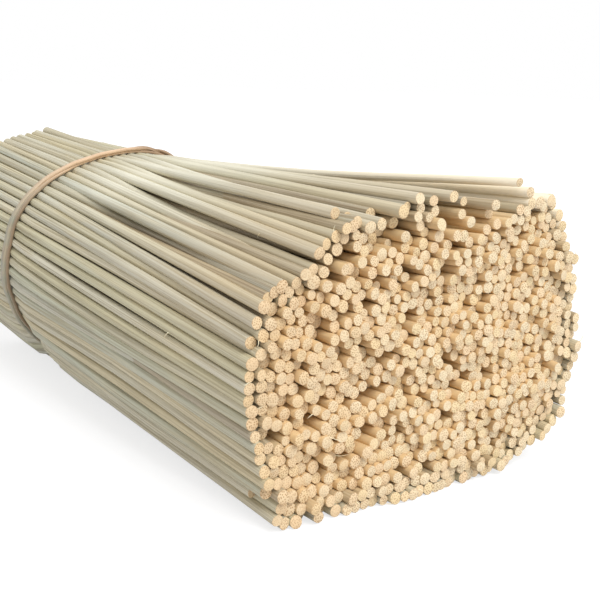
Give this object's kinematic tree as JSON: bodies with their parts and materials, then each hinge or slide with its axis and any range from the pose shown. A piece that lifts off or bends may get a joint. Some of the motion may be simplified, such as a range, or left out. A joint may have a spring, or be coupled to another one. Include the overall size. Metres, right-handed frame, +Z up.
{
  "type": "bundle of rattan reeds",
  "caption": "Thick bundle of straight rattan reeds lying on its side, tied by a flat rubber band and fanned out slightly towards the cut ends.",
  "frame": {"origin": "centre of the bundle's footprint, on the surface it lies on", "axes": "+X along the reeds towards the fanned cut ends, +Y across the bundle, +Z up"},
  "size_m": [0.2078, 0.1113, 0.0799],
  "materials": {
    "reed": "matt natural rattan, pale straw sides and cream cut ends",
    "band": "matt tan rubber"
  },
  "bodies": {
    "root": {"outer_reed_01": "reed", "outer_reed_02": "reed", "outer_reed_03": "reed", "outer_reed_04": "reed", "outer_reed_05": "reed", "outer_reed_06": "reed", "outer_reed_07": "reed", "outer_reed_08": "reed", "outer_reed_09": "reed", "outer_reed_10": "reed", "outer_reed_11": "reed", "outer_reed_12": "reed", "outer_reed_13": "reed", "outer_reed_14": "reed", "outer_reed_15": "reed", "outer_reed_16": "reed", "outer_reed_17": "reed", "outer_reed_18": "reed", "outer_reed_19": "reed", "outer_reed_20": "reed", "outer_reed_21": "reed", "outer_reed_22": "reed", "outer_reed_23": "reed", "outer_reed_24": "reed", "outer_reed_25": "reed", "outer_reed_26": "reed", "outer_reed_27": "reed", "outer_reed_28": "reed", "outer_reed_29": "reed", "outer_reed_30": "reed", "outer_reed_31": "reed", "outer_reed_32": "reed", "outer_reed_33": "reed", "outer_reed_34": "reed", "outer_reed_35": "reed", "outer_reed_36": "reed", "outer_reed_37": "reed", "outer_reed_38": "reed", "outer_reed_39": "reed", "outer_reed_40": "reed", "outer_reed_41": "reed", "outer_reed_42": "reed", "outer_reed_43": "reed", "outer_reed_44": "reed", "outer_reed_45": "reed", "outer_reed_46": "reed", "outer_reed_47": "reed", "outer_reed_48": "reed", "outer_reed_49": "reed", "outer_reed_50": "reed", "outer_reed_51": "reed", "outer_reed_52": "reed", "outer_reed_53": "reed", "outer_reed_54": "reed", "outer_reed_55": "reed", "outer_reed_56": "reed", "outer_reed_57": "reed", "outer_reed_58": "reed", "packed_reeds": "reed", "rubber_band": "band"}
  },
  "joints": []
}
